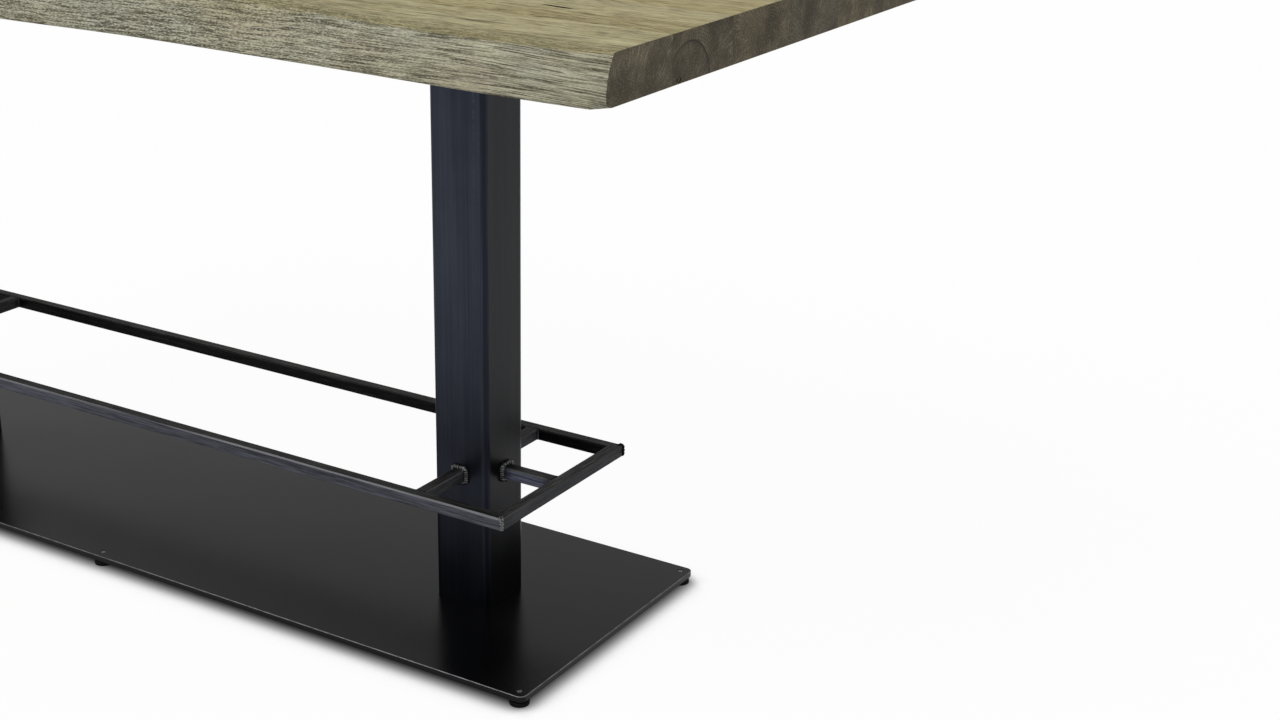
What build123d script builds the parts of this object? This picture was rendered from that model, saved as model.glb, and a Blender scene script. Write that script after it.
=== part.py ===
from build123d import *
import os

# A bar table: a thick oak top with natural long edges, carried by two square steel columns
# that stand on one heavy base plate, with a square-tube footrest welded round both columns.
# Millimetres. The origin is on the floor under the middle of the top, +X runs along the top,
# +Y to the rear long edge and +Z up. The photographed long edge is the front one, at -Y.

# Top: seven glued boards, the outer two with a natural edge
top_length = 2240
top_thick = 62
front_board_width = 171
inner_board_widths = (148, 152, 144, 120, 112)
rear_board_width = 171
edge_round_under = 8
edge_round_over = 3
# Natural edges at even steps from the left end: how far the lower line falls short of the
# widest line, and how much further in the upper line lies
front_edge_dips = (10, 4.5, 13, 20, 17, 13, 16, 18, 26, 22.5, 17.5, 8.5, 6.5)
front_edge_leans = (26, 30, 22, 28, 38, 30, 24, 32, 42, 52, 25.5, 23.5, 29.5)
rear_edge_dips = (14, 10, 3.7, 10, 17, 20, 15, 8, 11, 17, 20, 15, 11)
rear_edge_leans = (24, 27, 34, 30, 22, 26, 36, 42, 31, 24, 28, 33, 27)

# Columns
column_side = 100
column_wall = 5
column_round = 10
column_length = 930
column_span = 1200

# Head plates between the columns and the top, with slots that let the oak move
head_thick = 8
head_width = 180
head_length = 700
head_round = 8
head_slot_length = 20
head_bolt_span_x = 120
head_bolt_span_outer = 620
head_bolt_span_inner = 280

# Bolts, washers and threaded inserts under the top
bolt_diameter = 8
bolt_length = 25
bolt_head_flats = 13
bolt_head_high = 5.3
bolt_hole_diameter = 9
washer_diameter = 24
washer_thick = 2
insert_diameter = 12
insert_length = 22
insert_pocket_spare = 4

# Base plate
base_length = 1700
base_width = 500
base_thick = 10
base_round = 11
base_edge_round = 1

# Foot blocks inside the columns, and the countersunk screws that hold them from beneath
block_thick = 15
block_gap = 0.1
screw_diameter = 10
screw_length = 20
screw_head_diameter = 19.5
screw_head_recess = 0.3
screw_hole_diameter = 11
screw_socket_flats = 6
screw_socket_deep = 3
screw_span = 54

# Footrest: four mitred rails and three stubs to each column
rail_side = 20
rail_wall = 2
rail_round = 3
rail_top_above_base = 228
stub_side_length = 100
stub_end_length = 90

# Weld beads
bead_slope = 40
head_bead = 6
stub_bead = 5
rail_bead = 4
corner_bead = 2

# Screw feet in tapped holes along the edges of the base plate
pad_diameter = 30
pad_high = 7
pad_round = 2
pad_chamfer = 0.8
pad_socket_deep = 4
collar_flats = 13
collar_high = 3
stud_diameter = 8
stud_recess = 0.3
stud_hole_chamfer = 0.9
foot_inset = 16

# Play between a thread's plain stand-in and its hole
thread_play = 0.05

# Levels and places that follow from the sizes above
base_under = pad_high + collar_high
base_top = base_under + base_thick
head_under = base_top + column_length
top_under = head_under + head_thick
rail_middle = base_top + rail_top_above_base - rail_side / 2
top_half_length = top_length / 2
top_half_width = (front_board_width + sum(inner_board_widths) + rear_board_width) / 2
column_inside = column_side - 2 * column_wall
column_inside_round = column_round - column_wall
column_x = {"left": -column_span / 2, "right": column_span / 2}
rail_flat = rail_side - 2 * rail_round
rail_half_width = column_side / 2 + stub_side_length + rail_side
rail_half_length = column_span / 2 + column_side / 2 + stub_end_length + rail_side

# Bolts stand in two rows along each head plate
bolt_spots = [
    (x + side * head_bolt_span_x / 2, end * span / 2)
    for x in column_x.values()
    for side in (-1, 1)
    for span in (head_bolt_span_outer, head_bolt_span_inner)
    for end in (-1, 1)
]
screw_spots = [
    (x + side * screw_span / 2, end * screw_span / 2)
    for x in column_x.values()
    for side in (-1, 1)
    for end in (-1, 1)
]
foot_x = base_length / 2 - foot_inset
foot_y = base_width / 2 - foot_inset
foot_spots = {
    f"{row}_{place}": (x, y)
    for row, y in (("front", -foot_y), ("rear", foot_y))
    for place, x in (("left", -foot_x), ("middle", 0), ("right", foot_x))
}

os.makedirs("parts", exist_ok=True)


def save(piece, name):
    """Label a finished piece and write it."""
    piece.part.label = name
    export_step(piece.part, f"parts/{name}.step")


def level(height):
    """A horizontal plane at a height above the floor."""
    return Plane.XY.offset(height)


def at(spots, height):
    """Points at one height over a list of plan positions."""
    return Locations(*[(x, y, height) for x, y in spots])


def drill_insert_pockets():
    """Blind holes from beneath for the threaded inserts."""
    with at(bolt_spots, top_under):
        Cylinder(
            insert_diameter / 2 + thread_play,
            insert_length + insert_pocket_spare,
            align=(Align.CENTER, Align.CENTER, Align.MIN),
            mode=Mode.SUBTRACT,
        )


# Top boards


def natural_edge(side, dips, leans):
    """Points along a natural edge, pulled in from the widest line by dips and leans."""
    step = top_length / (len(dips) - 1)
    return [
        (-top_half_length + step * i, side * (top_half_width - dip - lean))
        for i, (dip, lean) in enumerate(zip(dips, leans))
    ]


def make_live_board(name, side, width, dips, leans):
    """An outer board whose edge leans from a lower line in to an upper line."""
    joint = side * (top_half_width - width)
    lower_line = natural_edge(side, dips, [0] * len(dips))
    upper_line = natural_edge(side, dips, leans)
    with BuildPart() as board:
        for height, line in ((top_under, lower_line), (top_under + top_thick, upper_line)):
            with BuildSketch(level(height)):
                with BuildLine():
                    edge = Spline(*line)
                    Polyline(edge @ 1, (top_half_length, joint), (-top_half_length, joint), edge @ 0)
                make_face()
        loft()
        outward = Axis((0, 0, 0), (0, side, 0))
        fillet(board.faces().sort_by(Axis.Z)[0].edges().sort_by(outward)[-1], edge_round_under)
        fillet(board.faces().sort_by(Axis.Z)[-1].edges().sort_by(outward)[-1], edge_round_over)
        drill_insert_pockets()
    save(board, name)


def make_inner_board(name, near, width):
    """A plain board between two glue lines."""
    with BuildPart() as board:
        with BuildSketch(level(top_under)):
            with Locations((0, near + width / 2)):
                Rectangle(top_length, width)
        extrude(amount=top_thick)
        drill_insert_pockets()
    save(board, name)


make_live_board("live_board_front", -1, front_board_width, front_edge_dips, front_edge_leans)
glue_line = -top_half_width + front_board_width
for number, board_width in enumerate(inner_board_widths, start=2):
    make_inner_board(f"board_{number}", glue_line, board_width)
    glue_line += board_width
make_live_board("live_board_rear", 1, rear_board_width, rear_edge_dips, rear_edge_leans)

# Threaded inserts, bolts and washers, each kind as one group

with BuildPart() as inserts:
    with at(bolt_spots, top_under):
        Cylinder(insert_diameter / 2, insert_length, align=(Align.CENTER, Align.CENTER, Align.MIN))
    with at(bolt_spots, top_under):
        Cylinder(
            bolt_diameter / 2 + thread_play,
            insert_length,
            align=(Align.CENTER, Align.CENTER, Align.MIN),
            mode=Mode.SUBTRACT,
        )
save(inserts, "top_inserts")

with BuildPart() as washers:
    with BuildSketch(level(head_under - washer_thick)):
        with Locations(*bolt_spots):
            Circle(washer_diameter / 2)
            Circle(bolt_hole_diameter / 2, mode=Mode.SUBTRACT)
    extrude(amount=washer_thick)
save(washers, "head_washers")

with BuildPart() as bolts:
    with BuildSketch(level(head_under - washer_thick)):
        with Locations(*bolt_spots):
            Circle(bolt_diameter / 2)
    extrude(amount=bolt_length)
    with BuildSketch(level(head_under - washer_thick - bolt_head_high)):
        with Locations(*bolt_spots):
            RegularPolygon(bolt_head_flats / 2, 6, major_radius=False)
    extrude(amount=bolt_head_high)
save(bolts, "head_bolts")

# Columns, with a head plate welded on top and a foot block set inside the lower end


def column_outline(grow=0):
    """The column's outer outline, grown outwards for a weld bead."""
    side = column_side + 2 * grow
    return RectangleRounded(side, side, column_round + grow)


def make_column(name, x):
    with BuildPart() as column:
        with BuildSketch(Plane((x, 0, base_top))):
            column_outline()
            RectangleRounded(column_inside, column_inside, column_inside_round, mode=Mode.SUBTRACT)
        extrude(amount=column_length)
    save(column, name)


def make_foot_block(name, x):
    block_side = column_inside - 2 * block_gap
    with BuildPart() as block:
        with BuildSketch(Plane((x, 0, base_top))):
            RectangleRounded(block_side, block_side, column_inside_round - block_gap)
            with GridLocations(screw_span, screw_span, 2, 2):
                Circle(screw_diameter / 2 + thread_play, mode=Mode.SUBTRACT)
        extrude(amount=block_thick)
    save(block, name)


def make_head_plate(name, x):
    with BuildPart() as plate:
        with BuildSketch(Plane((x, 0, head_under))):
            RectangleRounded(head_width, head_length, head_round)
            for span in (head_bolt_span_outer, head_bolt_span_inner):
                with GridLocations(head_bolt_span_x, span, 2, 2):
                    SlotOverall(head_slot_length, bolt_hole_diameter, rotation=90, mode=Mode.SUBTRACT)
        extrude(amount=head_thick)
    save(plate, name)


for end, x in column_x.items():
    make_column(f"column_{end}", x)
    make_foot_block(f"foot_block_{end}", x)
    make_head_plate(f"head_plate_{end}", x)

with BuildPart() as head_welds:
    for x in column_x.values():
        with BuildSketch(Plane((x, 0, head_under), z_dir=(0, 0, -1))):
            column_outline(head_bead)
        extrude(amount=head_bead, taper=bead_slope)
    for x in column_x.values():
        with BuildSketch(Plane((x, 0, head_under), z_dir=(0, 0, -1))):
            column_outline()
        extrude(amount=head_bead, mode=Mode.SUBTRACT)
save(head_welds, "head_welds")

# Base plate and its screws

with BuildPart() as base_plate:
    with BuildSketch(level(base_under)):
        RectangleRounded(base_length, base_width, base_round)
        with Locations(*foot_spots.values()):
            Circle(stud_diameter / 2 + thread_play, mode=Mode.SUBTRACT)
    extrude(amount=base_thick)
    upper, lower = base_plate.faces().sort_by(Axis.Z)[-1], base_plate.faces().sort_by(Axis.Z)[0]
    fillet(upper.outer_wire().edges() + lower.outer_wire().edges(), base_edge_round)
    upper = base_plate.faces().sort_by(Axis.Z)[-1]
    chamfer([edge for hole in upper.inner_wires() for edge in hole.edges()], stud_hole_chamfer)
    with Locations(*[Location((x, y, base_under), (180, 0, 0)) for x, y in screw_spots]):
        CounterSinkHole(
            screw_hole_diameter / 2,
            screw_head_diameter / 2 + screw_head_recess,
            base_thick,
            counter_sink_angle=90,
        )
save(base_plate, "base_plate")

screw_head_high = (screw_head_diameter - screw_diameter) / 2
with BuildPart() as screws:
    with at(screw_spots, base_under + screw_head_recess):
        Cone(
            screw_head_diameter / 2,
            screw_diameter / 2,
            screw_head_high,
            align=(Align.CENTER, Align.CENTER, Align.MIN),
        )
        Cylinder(screw_diameter / 2, screw_length, align=(Align.CENTER, Align.CENTER, Align.MIN))
    with BuildSketch(level(base_under + screw_head_recess)):
        with Locations(*screw_spots):
            RegularPolygon(screw_socket_flats / 2, 6, major_radius=False)
    extrude(amount=screw_socket_deep, mode=Mode.SUBTRACT)
save(screws, "base_screws")

# Footrest


def rail_outline(grow=0):
    """The square tube's outer outline, grown outwards for a weld bead."""
    side = rail_side + 2 * grow
    return RectangleRounded(side, side, rail_round + grow)


def rail_bore():
    side = rail_side - 2 * rail_wall
    return RectangleRounded(side, side, rail_round - rail_wall, mode=Mode.SUBTRACT)


def make_rail(name, along, outward, half_length, reach):
    """A rail whose outer face lies at reach, with both ends cut to a mitre."""
    along = Vector(along)
    outward = Vector(outward)
    middle = outward * (reach - rail_side / 2) + Vector(0, 0, rail_middle)
    with BuildPart() as rail:
        with BuildSketch(Plane(middle - along * half_length, x_dir=outward, z_dir=along)):
            rail_outline()
            rail_bore()
        extrude(amount=2 * half_length)
        for way in (along, along * -1):
            outer_corner = outward * reach + way * half_length
            split(bisect_by=Plane(outer_corner, z_dir=way - outward), keep=Keep.BOTTOM)
    save(rail, name)


def stub_plane(x, way, distance):
    """A plane across a stub, at a distance from the column's axis."""
    middle = Vector(x, 0, rail_middle) + Vector(way) * distance
    return Plane(middle, x_dir=(0, 0, 1), z_dir=way)


def make_stub(name, plane, length):
    with BuildPart() as stub:
        with BuildSketch(plane):
            rail_outline()
            rail_bore()
        extrude(amount=length)
    save(stub, name)


make_rail("foot_rail_front", (1, 0, 0), (0, -1, 0), rail_half_length, rail_half_width)
make_rail("foot_rail_rear", (1, 0, 0), (0, 1, 0), rail_half_length, rail_half_width)
make_rail("foot_rail_left", (0, 1, 0), (-1, 0, 0), rail_half_width, rail_half_length)
make_rail("foot_rail_right", (0, 1, 0), (1, 0, 0), rail_half_width, rail_half_length)

for end, x in column_x.items():
    end_way = (1, 0, 0) if x > 0 else (-1, 0, 0)
    ways = {"front": (0, -1, 0), "rear": (0, 1, 0), "end": end_way}
    lengths = {"front": stub_side_length, "rear": stub_side_length, "end": stub_end_length}
    for place, way in ways.items():
        make_stub(f"stub_{place}_{end}", stub_plane(x, way, column_side / 2), lengths[place])

    # Beads all round where the stubs meet the column
    with BuildPart() as stub_welds:
        for way in ways.values():
            with BuildSketch(stub_plane(x, way, column_side / 2)):
                rail_outline(stub_bead)
            extrude(amount=stub_bead, taper=bead_slope)
        for way in ways.values():
            with BuildSketch(stub_plane(x, way, column_side / 2)):
                rail_outline()
            extrude(amount=stub_bead, mode=Mode.SUBTRACT)
    save(stub_welds, f"stub_welds_{end}")

    # Upright beads in the corners where the stubs meet the rails
    with BuildPart() as rail_welds:
        for place, way in ways.items():
            meeting = Vector(x, 0, rail_middle - rail_flat / 2)
            meeting += Vector(way) * (column_side / 2 + lengths[place])
            with BuildSketch(Plane(meeting, x_dir=way, z_dir=(0, 0, 1))):
                for side in (-1, 1):
                    flank = side * rail_side / 2
                    Polygon(
                        (0, flank),
                        (-rail_bead, flank),
                        (0, flank + side * rail_bead),
                        align=None,
                    )
            extrude(amount=rail_flat)
    save(rail_welds, f"rail_welds_{end}")

# Upright beads along the outer corners of the mitres
with BuildPart() as corner_welds:
    for x_side in (-1, 1):
        for y_side in (-1, 1):
            corner = (x_side * rail_half_length, y_side * rail_half_width, rail_middle - rail_flat / 2)
            with BuildSketch(Plane(corner)):
                Circle(corner_bead)
                with Locations((-x_side * corner_bead, -y_side * corner_bead)):
                    Rectangle(2 * corner_bead, 2 * corner_bead, mode=Mode.SUBTRACT)
            extrude(amount=rail_flat)
save(corner_welds, "corner_welds")

# Screw feet


def make_foot(name, x, y):
    """A pad with a socket, and a stud whose collar stops under the base plate."""
    with BuildPart() as pad:
        with BuildSketch(Plane((x, y, 0))):
            Circle(pad_diameter / 2)
        extrude(amount=pad_high)
        fillet(pad.edges().sort_by(Axis.Z)[-1], pad_round)
        chamfer(pad.edges().sort_by(Axis.Z)[0], pad_chamfer)
        with BuildSketch(Plane((x, y, pad_high))):
            Circle(stud_diameter / 2 + thread_play)
        extrude(amount=-pad_socket_deep, mode=Mode.SUBTRACT)
    save(pad, f"foot_pad_{name}")

    stud_foot = pad_high - pad_socket_deep
    with BuildPart() as stud:
        with BuildSketch(Plane((x, y, stud_foot))):
            Circle(stud_diameter / 2)
        extrude(amount=base_top - stud_recess - stud_foot)
        with BuildSketch(Plane((x, y, pad_high))):
            RegularPolygon(collar_flats / 2, 6, major_radius=False)
        extrude(amount=collar_high)
    save(stud, f"foot_stud_{name}")


for place, (x, y) in foot_spots.items():
    make_foot(place, x, y)
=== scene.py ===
import math
import random

import bmesh
import bpy
from mathutils import Matrix, Vector


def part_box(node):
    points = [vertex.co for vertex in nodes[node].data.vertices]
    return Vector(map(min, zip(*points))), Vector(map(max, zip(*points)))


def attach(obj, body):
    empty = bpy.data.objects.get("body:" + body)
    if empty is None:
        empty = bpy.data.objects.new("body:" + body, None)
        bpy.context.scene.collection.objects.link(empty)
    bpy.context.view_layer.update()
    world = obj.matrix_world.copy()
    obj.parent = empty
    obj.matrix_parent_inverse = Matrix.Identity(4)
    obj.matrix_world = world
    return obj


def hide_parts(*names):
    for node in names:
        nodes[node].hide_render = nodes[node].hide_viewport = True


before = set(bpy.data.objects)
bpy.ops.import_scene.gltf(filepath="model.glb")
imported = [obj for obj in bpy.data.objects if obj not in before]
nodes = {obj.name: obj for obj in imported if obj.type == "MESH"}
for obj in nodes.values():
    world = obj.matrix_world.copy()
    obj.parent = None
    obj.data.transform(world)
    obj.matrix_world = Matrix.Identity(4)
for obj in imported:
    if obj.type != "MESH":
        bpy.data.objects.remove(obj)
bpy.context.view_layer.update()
bpy.ops.object.select_all(action="DESELECT")

# Sizes of the part, in metres
touch = 1e-5
top_low, top_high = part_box("board_4")[0].z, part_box("board_4")[1].z
half_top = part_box("board_4")[1].x
column_x, column_half, column_round = 0.6, 0.05, 0.01
rail_level, rail_half, rail_round = 0.238, 0.01, 0.003
rail_out_x, rail_out_y = 0.76, 0.17
stub_long, stub_short = 0.1, 0.09
plate_high, plate_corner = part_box("base_plate")[1], 0.011
bolt_step, bolt_rows = 0.06, (-0.31, -0.14, 0.14, 0.31)
hexagon, thread_radius, thread_pitch = 0.0075056, 0.004, 0.00125
pad_radius, pad_height = 0.015, 0.007
feet = {
    f"{row}_{place}": (x, y)
    for row, y in (("front", -0.234), ("rear", 0.234))
    for place, x in (("left", -0.834), ("middle", 0.0), ("right", 0.834))
}

# Natural edges: 13 stations from the left end, how far in the lower line lies and how far the face leans in, in mm
edge_line = 0.509
front_dips = (10, 4.5, 13, 20, 17, 13, 16, 18, 26, 22.5, 17.5, 8.5, 6.5)
front_leans = (26, 30, 22, 28, 38, 30, 24, 32, 42, 52, 25.5, 23.5, 29.5)
rear_dips = (14, 10, 3.7, 10, 17, 20, 15, 8, 11, 17, 20, 15, 11)
rear_leans = (24, 27, 34, 30, 22, 26, 36, 42, 31, 24, 28, 33, 27)


class Nodes:
    """A node tree that grows by methods: each adds a node and returns what comes out of it."""

    def __init__(self, tree):
        self.nodes, self.links = tree.nodes, tree.links

    def feed(self, socket, value):
        if isinstance(value, bpy.types.NodeSocket):
            self.links.new(value, socket)
        else:
            socket.default_value = value

    def new(self, kind, values=None):
        node = self.nodes.new("ShaderNode" + kind)
        for socket, value in (values or {}).items():
            self.feed(node.inputs[socket], value)
        return node

    def math(self, how, *values):
        node = self.new("Math", dict(enumerate(values)))
        node.operation = how
        return node.outputs[0]

    def times(self, first, *others):
        for other in others:
            first = self.math("MULTIPLY", first, other)
        return first

    def stacked(self, pattern, share, below):
        """A share of one pattern on top of another."""
        return self.math("MULTIPLY_ADD", pattern, share, below)

    def off(self, value, middle):
        """How far a value lies from a middle, either way."""
        return self.math("ABSOLUTE", self.math("SUBTRACT", value, middle))

    def highest(self, first, *others):
        for other in others:
            first = self.math("MAXIMUM", first, other)
        return first

    def apart(self, vector):
        return tuple(self.new("SeparateXYZ", {0: vector}).outputs)

    def joined(self, x=0.0, y=0.0, z=0.0):
        return self.new("CombineXYZ", {0: x, 1: y, 2: z}).outputs[0]

    def length(self, vector):
        node = self.new("VectorMath", {0: vector})
        node.operation = "LENGTH"
        return node.outputs["Value"]

    def spread(self, value, low, high, to_low=0.0, to_high=1.0):
        ends = {"From Min": low, "From Max": high, "To Min": to_low, "To Max": to_high}
        return self.new("MapRange", {"Value": value, **ends}).outputs[0]

    def ramp(self, value, *stops):
        node = self.new("ValToRGB", {0: value})
        marks = node.color_ramp.elements
        while len(marks) < len(stops):
            marks.new(0.5)
        for mark, (position, colour) in zip(marks, stops):
            mark.position = position
            mark.color = (*colour, 1) if isinstance(colour, tuple) else (colour, colour, colour, 1)
        return node.outputs[0]

    def mix(self, factor, a, b, how="MIX"):
        node = self.new("Mix")
        node.data_type, node.blend_type = "RGBA", how
        for index, value in ((0, factor), (6, a), (7, b)):
            self.feed(node.inputs[index], (*value, 1) if isinstance(value, tuple) else value)
        return node.outputs[2]

    def layered(self, colour, *layers):
        """Lays tones over a colour, each by its share."""
        for share, tone in layers:
            colour = self.mix(share, colour, tone)
        return colour

    def either(self, factor, a, b):
        return self.new("MixShader", {0: factor, 1: a, 2: b}).outputs[0]

    def backdrop(self):
        """1 for rays that show the plain background: straight, off gloss and through glass."""
        path = self.new("LightPath").outputs
        return self.highest(path["Is Camera Ray"], path["Is Glossy Ray"], path["Is Transmission Ray"])


class Finish(Nodes):
    """A surface finish, put together from nodes round one Principled shader."""

    def __init__(self, name, roughness=0.5, metallic=0.0, gloss=0.5):
        self.material = bpy.data.materials.new(name)
        self.material.use_nodes = True
        super().__init__(self.material.node_tree)
        self.shader = self.nodes["Principled BSDF"]
        for socket, value in (("Roughness", roughness), ("Metallic", metallic), ("Specular IOR Level", gloss)):
            self.shader.inputs[socket].default_value = value
        where = self.new("TexCoord")
        self.place, self.facing = where.outputs["Object"], where.outputs["Normal"]

    def to_shader(self, colour=None, roughness=None, normal=None, metal=None):
        sockets = {"Base Color": colour, "Roughness": roughness, "Normal": normal, "Metallic": metal}
        for name, value in sockets.items():
            if value is not None:
                self.feed(self.shader.inputs[name], value)
        return self

    def mapped(self, scale, location=(0, 0, 0), vector=None):
        values = {"Vector": vector or self.place, "Location": location, "Scale": scale}
        return self.new("Mapping", values).outputs[0]

    def centred(self, centre, size=(1, 1, 1), turn=(0, 0, 0)):
        node = self.new("Mapping", {"Vector": self.place, "Location": centre, "Rotation": turn, "Scale": size})
        node.vector_type = "TEXTURE"
        return node.outputs[0]

    def noise(self, vector, detail=2.0, rough=0.5, distortion=0.0):
        values = {"Vector": vector, "Scale": 1.0, "Detail": detail, "Roughness": rough, "Distortion": distortion}
        return self.new("TexNoise", values).outputs["Fac"]

    def cloudy(self, scale, detail=2.0, rough=0.5):
        """An even pattern, so many to the metre each way."""
        return self.noise(self.mapped((scale, scale, scale)), detail, rough)

    def bump(self, height, depth, strength):
        return self.new("Bump", {"Strength": strength, "Distance": depth, "Height": height}).outputs[0]

    def attribute(self, name):
        node = self.new("Attribute")
        node.attribute_name = name
        return node.outputs["Fac"]


def pick(obj, kind, test):
    """Selects the edges or faces of a mesh in edit mode that pass a test."""
    bpy.ops.mesh.select_mode(type=kind)
    bpy.ops.mesh.select_all(action="DESELECT")
    mesh = bmesh.from_edit_mesh(obj.data)
    for part in mesh.edges if kind == "EDGE" else mesh.faces:
        if test(part):
            part.select_set(True)
    mesh.select_flush_mode()
    bmesh.update_edit_mesh(obj.data)


def eased(obj, width, test, steps=2, **more):
    """Bevels the edges that pass a test."""
    pick(obj, "EDGE", test)
    bpy.ops.mesh.bevel(offset=width, segments=steps, profile=0.5, affect="EDGES", **more)


def every(test):
    """A test on an edge or face that holds where each of its points passes."""
    return lambda part: all(test(v.co) for v in part.verts)


def reach(edge):
    return edge.verts[0].co - edge.verts[1].co


at_end = every(lambda p: abs(p.x) > half_top - touch)


def unselect():
    bpy.ops.object.select_all(action="DESELECT")


def begin(name):
    """Names the fresh primitive, puts its place and size into its mesh and opens it for editing."""
    obj = bpy.context.object
    obj.name = obj.data.name = name
    bpy.ops.object.transform_apply(location=True, rotation=True, scale=True)
    bpy.ops.object.mode_set(mode="EDIT")
    return obj


def block(name, low, high):
    unselect()
    bpy.ops.mesh.primitive_cube_add(size=1, location=(low + high) / 2, scale=high - low)
    return begin(name)


def rod(name, vertices, radius, depth, location, **more):
    unselect()
    bpy.ops.mesh.primitive_cylinder_add(vertices=vertices, radius=radius, depth=depth, location=location, **more)
    return begin(name)


def alone(obj):
    """Leaves edit mode with this object alone selected and active."""
    if bpy.context.mode != "OBJECT":
        bpy.ops.object.mode_set(mode="OBJECT")
    unselect()
    obj.select_set(True)
    bpy.context.view_layer.objects.active = obj
    return obj


def done(obj, finish, node, smooth=40, body="root"):
    """Gives the piece its finish, hangs it on its body and lets it stand in for a node of the part."""
    alone(obj)
    bpy.ops.object.shade_smooth_by_angle(angle=math.radians(smooth))
    obj.data.materials.clear()
    obj.data.materials.append(finish.material)
    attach(obj, body)
    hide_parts(node)
    obj.select_set(False)


def twin(obj, name, turn):
    """A copy of a finished shape with a mesh of its own, moved by a matrix."""
    new = obj.copy()
    new.data = obj.data.copy()
    new.name = new.data.name = name
    bpy.context.scene.collection.objects.link(new)
    new.data.transform(turn)
    return new


def together(name, pieces):
    """Joins separate shapes into one piece."""
    alone(pieces[0])
    for piece in pieces:
        piece.select_set(True)
    bpy.ops.object.join()
    pieces[0].name = pieces[0].data.name = name
    return pieces[0]


def drawn(values, x):
    """A smooth line through evenly spaced values along the top, read at x, in metres."""
    last = len(values) - 1
    t = min(max((x + half_top) / (2 * half_top) * last, 0.0), last)
    i = min(int(t), last - 1)
    t -= i
    p = [values[min(max(k, 0), last)] for k in range(i - 1, i + 3)]
    if i == 0:
        p[0] = 2 * p[1] - p[2]
    if i == last - 1:
        p[3] = 2 * p[2] - p[1]
    a = 2 * p[1] + (p[2] - p[0]) * t
    b = (2 * p[0] - 5 * p[1] + 4 * p[2] - p[3]) * t**2
    c = (3 * p[1] - p[0] - 3 * p[2] + p[3]) * t**3
    return (a + b + c) / 2000


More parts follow.
